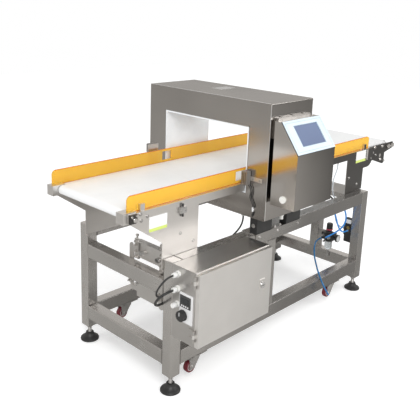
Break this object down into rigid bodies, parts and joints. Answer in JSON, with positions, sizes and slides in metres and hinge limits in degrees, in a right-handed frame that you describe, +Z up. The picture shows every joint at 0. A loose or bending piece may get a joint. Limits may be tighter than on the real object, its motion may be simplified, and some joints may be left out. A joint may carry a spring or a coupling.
{
  "type": "conveyor metal detector",
  "caption": "Belt conveyor on a square tube frame running through a metal detector head, with control cabinet, touch screen console, guards and air reject",
  "frame": {"origin": "middle of the machine's footprint at floor level", "axes": "+X along the belt's travel, +Y away from the operator, +Z up"},
  "size_m": [1.87, 0.8235, 1.084],
  "materials": {
    "frame_steel": "satin",
    "sheet_steel": "satin",
    "foot_rubber": "matte",
    "caster_steel": "satin",
    "caster_tyre": "matte",
    "roller_steel": "polished",
    "belt_white": "matte",
    "bed_plastic": "matte",
    "coil_winding": "satin",
    "insulator_black": "matte",
    "screen_surround": "matte",
    "guard_orange": "gloss",
    "motor_alloy": "satin",
    "belt_rubber": "matte",
    "electrics_case": "matte",
    "nylon_white": "matte",
    "lock_chrome": "polished",
    "cable_jacket": "matte",
    "valve_brass": "satin",
    "air_tube_blue": "satin",
    "air_tube_clear": "satin"
  },
  "bodies": {
    "machine_frame": {"frame_uprights": "frame_steel", "frame_rails": "frame_steel", "foot_nuts": "frame_steel", "infeed_bracket": "frame_steel", "head_ledges": "frame_steel", "side_plate_front": "sheet_steel", "side_plate_back": "sheet_steel", "support_webs": "sheet_steel", "tension_plates": "sheet_steel", "drive_cover": "sheet_steel", "roller_bearings": "sheet_steel", "head_case": "sheet_steel", "console_case": "sheet_steel", "console_hanger": "sheet_steel", "cabinet_body": "sheet_steel", "caster_plates": "caster_steel", "conveyor_belt": "belt_white", "slider_bed": "bed_plastic", "aperture_liner": "bed_plastic", "search_coils": "coil_winding", "head_blocks": "insulator_black", "guard_clamps": "insulator_black", "photo_eyes": "insulator_black", "speed_panel": "insulator_black", "air_regulator": "insulator_black", "touch_screen": "screen_surround", "guard_front": "guard_orange", "guard_back": "guard_orange", "drive_motor": "motor_alloy", "timing_belt": "belt_rubber", "cabinet_electrics": "electrics_case", "cable_fittings": "nylon_white", "head_cable": "cable_jacket", "motor_cable": "cable_jacket", "solenoid_valve": "valve_brass", "blow_nozzle": "valve_brass", "air_tube": "air_tube_blue", "supply_hose": "air_tube_blue", "blow_tube": "air_tube_clear"},
    "cabinet_door": {"cabinet_door": "sheet_steel"},
    "door_lock": {"door_lock": "lock_chrome"},
    "speed_knob": {"speed_knob": "insulator_black"},
    "regulator_dial": {"regulator_dial": "insulator_black"},
    "infeed_roller": {"infeed_roller": "roller_steel"},
    "discharge_roller": {"discharge_roller": "roller_steel"},
    "drive_roller": {"drive_roller": "roller_steel"},
    "snub_roller": {"snub_roller": "roller_steel"},
    "motor_pulley": {"motor_pulley": "motor_alloy"},
    "levelling_foot_1": {"levelling_foot_1": "foot_rubber"},
    "caster_fork_1": {"caster_fork_1": "caster_steel"},
    "caster_wheel_1": {"caster_wheel_1": "caster_tyre"},
    "levelling_foot_2": {"levelling_foot_2": "foot_rubber"},
    "caster_fork_2": {"caster_fork_2": "caster_steel"},
    "caster_wheel_2": {"caster_wheel_2": "caster_tyre"},
    "levelling_foot_3": {"levelling_foot_3": "foot_rubber"},
    "caster_fork_3": {"caster_fork_3": "caster_steel"},
    "caster_wheel_3": {"caster_wheel_3": "caster_tyre"},
    "levelling_foot_4": {"levelling_foot_4": "foot_rubber"},
    "caster_fork_4": {"caster_fork_4": "caster_steel"},
    "caster_wheel_4": {"caster_wheel_4": "caster_tyre"}
  },
  "joints": [
    {"name": "door_hinge", "type": "hinge", "parent": "machine_frame", "child": "cabinet_door", "pos_m": [-0.756, -0.33589, 0.398], "axis": [0, 0, -1], "range_deg": [0, 110]},
    {"name": "door_lock_turn", "type": "hinge", "parent": "cabinet_door", "child": "door_lock", "pos_m": [-0.399, -0.35289, 0.3945], "axis": [0, 1, 0], "range_deg": [0, 90]},
    {"name": "speed_knob_turn", "type": "hinge", "parent": "machine_frame", "child": "speed_knob", "pos_m": [-0.755, -0.28089, 0.364], "axis": [1, 0, 0], "range_deg": [0, 270]},
    {"name": "regulator_dial_turn", "type": "hinge", "parent": "machine_frame", "child": "regulator_dial", "pos_m": [0.56, -0.04839, 0.295], "axis": [0, 0, 1], "range_deg": [-180, 180]},
    {"name": "drive_roller_spin", "type": "hinge", "parent": "machine_frame", "child": "drive_roller", "pos_m": [0.805, 0.06611, 0.69], "axis": [0, 1, 0], "continuous": true},
    {"name": "infeed_roller_spin", "type": "hinge", "parent": "machine_frame", "child": "infeed_roller", "pos_m": [-0.895, 0.06611, 0.7327], "axis": [0, 1, 0], "continuous": true},
    {"name": "discharge_roller_spin", "type": "hinge", "parent": "machine_frame", "child": "discharge_roller", "pos_m": [0.915, 0.06611, 0.7327], "axis": [0, 1, 0], "continuous": true},
    {"name": "snub_roller_spin", "type": "hinge", "parent": "machine_frame", "child": "snub_roller", "pos_m": [0.72, 0.06611, 0.704], "axis": [0, 1, 0], "continuous": true},
    {"name": "motor_pulley_spin", "type": "hinge", "parent": "machine_frame", "child": "motor_pulley", "pos_m": [0.56, 0.31211, 0.62], "axis": [0, 1, 0], "continuous": true},
    {"name": "levelling_foot_1_screw", "type": "slide", "parent": "machine_frame", "child": "levelling_foot_1", "axis": [0, 0, 1], "range_m": [-0.03, 0.02]},
    {"name": "levelling_foot_2_screw", "type": "slide", "parent": "machine_frame", "child": "levelling_foot_2", "axis": [0, 0, 1], "range_m": [-0.03, 0.02]},
    {"name": "levelling_foot_3_screw", "type": "slide", "parent": "machine_frame", "child": "levelling_foot_3", "axis": [0, 0, 1], "range_m": [-0.03, 0.02]},
    {"name": "levelling_foot_4_screw", "type": "slide", "parent": "machine_frame", "child": "levelling_foot_4", "axis": [0, 0, 1], "range_m": [-0.03, 0.02]},
    {"name": "caster_1_swivel", "type": "hinge", "parent": "machine_frame", "child": "caster_fork_1", "pos_m": [-0.596, -0.19289, 0.098], "axis": [0, 0, 1], "continuous": true},
    {"name": "caster_1_roll", "type": "hinge", "parent": "caster_fork_1", "child": "caster_wheel_1", "pos_m": [-0.624, -0.19289, 0.063], "axis": [0, 1, 0], "continuous": true},
    {"name": "caster_2_swivel", "type": "hinge", "parent": "machine_frame", "child": "caster_fork_2", "pos_m": [0.37, -0.19289, 0.098], "axis": [0, 0, 1], "continuous": true},
    {"name": "caster_2_roll", "type": "hinge", "parent": "caster_fork_2", "child": "caster_wheel_2", "pos_m": [0.342, -0.19289, 0.063], "axis": [0, 1, 0], "continuous": true},
    {"name": "caster_3_swivel", "type": "hinge", "parent": "machine_frame", "child": "caster_fork_3", "pos_m": [-0.518, 0.32511, 0.098], "axis": [0, 0, 1], "continuous": true},
    {"name": "caster_3_roll", "type": "hinge", "parent": "caster_fork_3", "child": "caster_wheel_3", "pos_m": [-0.546, 0.32511, 0.063], "axis": [0, 1, 0], "continuous": true},
    {"name": "caster_4_swivel", "type": "hinge", "parent": "machine_frame", "child": "caster_fork_4", "pos_m": [0.4, 0.32511, 0.098], "axis": [0, 0, 1], "continuous": true},
    {"name": "caster_4_roll", "type": "hinge", "parent": "caster_fork_4", "child": "caster_wheel_4", "pos_m": [0.372, 0.32511, 0.063], "axis": [0, 1, 0], "continuous": true}
  ],
  "couplings": [
    {"joint": "infeed_roller_spin", "follows": "drive_roller_spin", "ratio": 2.3333},
    {"joint": "discharge_roller_spin", "follows": "drive_roller_spin", "ratio": 2.3333},
    {"joint": "snub_roller_spin", "follows": "drive_roller_spin", "ratio": -2.9167},
    {"joint": "motor_pulley_spin", "follows": "drive_roller_spin", "ratio": 1.4545}
  ]
}
